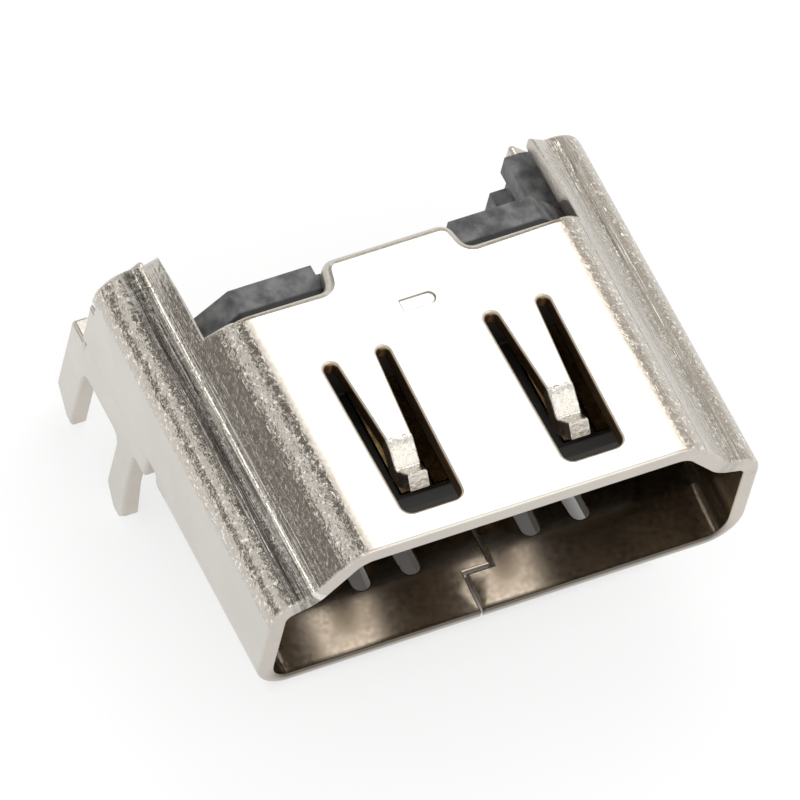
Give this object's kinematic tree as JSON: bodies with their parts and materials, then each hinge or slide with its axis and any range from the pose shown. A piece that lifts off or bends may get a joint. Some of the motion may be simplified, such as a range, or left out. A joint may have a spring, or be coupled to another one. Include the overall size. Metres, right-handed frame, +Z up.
{
  "type": "board video receptacle",
  "caption": "Digital video receptacle for a printed board: folded plated shell with springs and board legs round a black insulator with a row of gold contacts.",
  "frame": {"origin": "a point on the flat underside of the shell's floor, which lies on the board, midway across the mouth and 3.5 mm behind the mouth's edge", "axes": "+X across the mouth, +Y from the mouth to the rear, +Z up from the board"},
  "size_m": [0.015, 0.0121, 0.0083],
  "materials": {
    "nickel": "bright nickel plate, finely pebbled at the bends",
    "insulator": "matte moulded",
    "gold": "gold plate"
  },
  "bodies": {
    "root": {"shell": "nickel", "housing": "insulator", "tail_spacer": "insulator", "contact_01": "gold", "contact_02": "gold", "contact_03": "gold", "contact_04": "gold", "contact_05": "gold", "contact_06": "gold", "contact_07": "gold", "contact_08": "gold", "contact_09": "gold", "contact_10": "gold", "contact_11": "gold", "contact_12": "gold", "contact_13": "gold", "contact_14": "gold", "contact_15": "gold", "contact_16": "gold", "contact_17": "gold", "contact_18": "gold", "contact_19": "gold"}
  },
  "joints": []
}
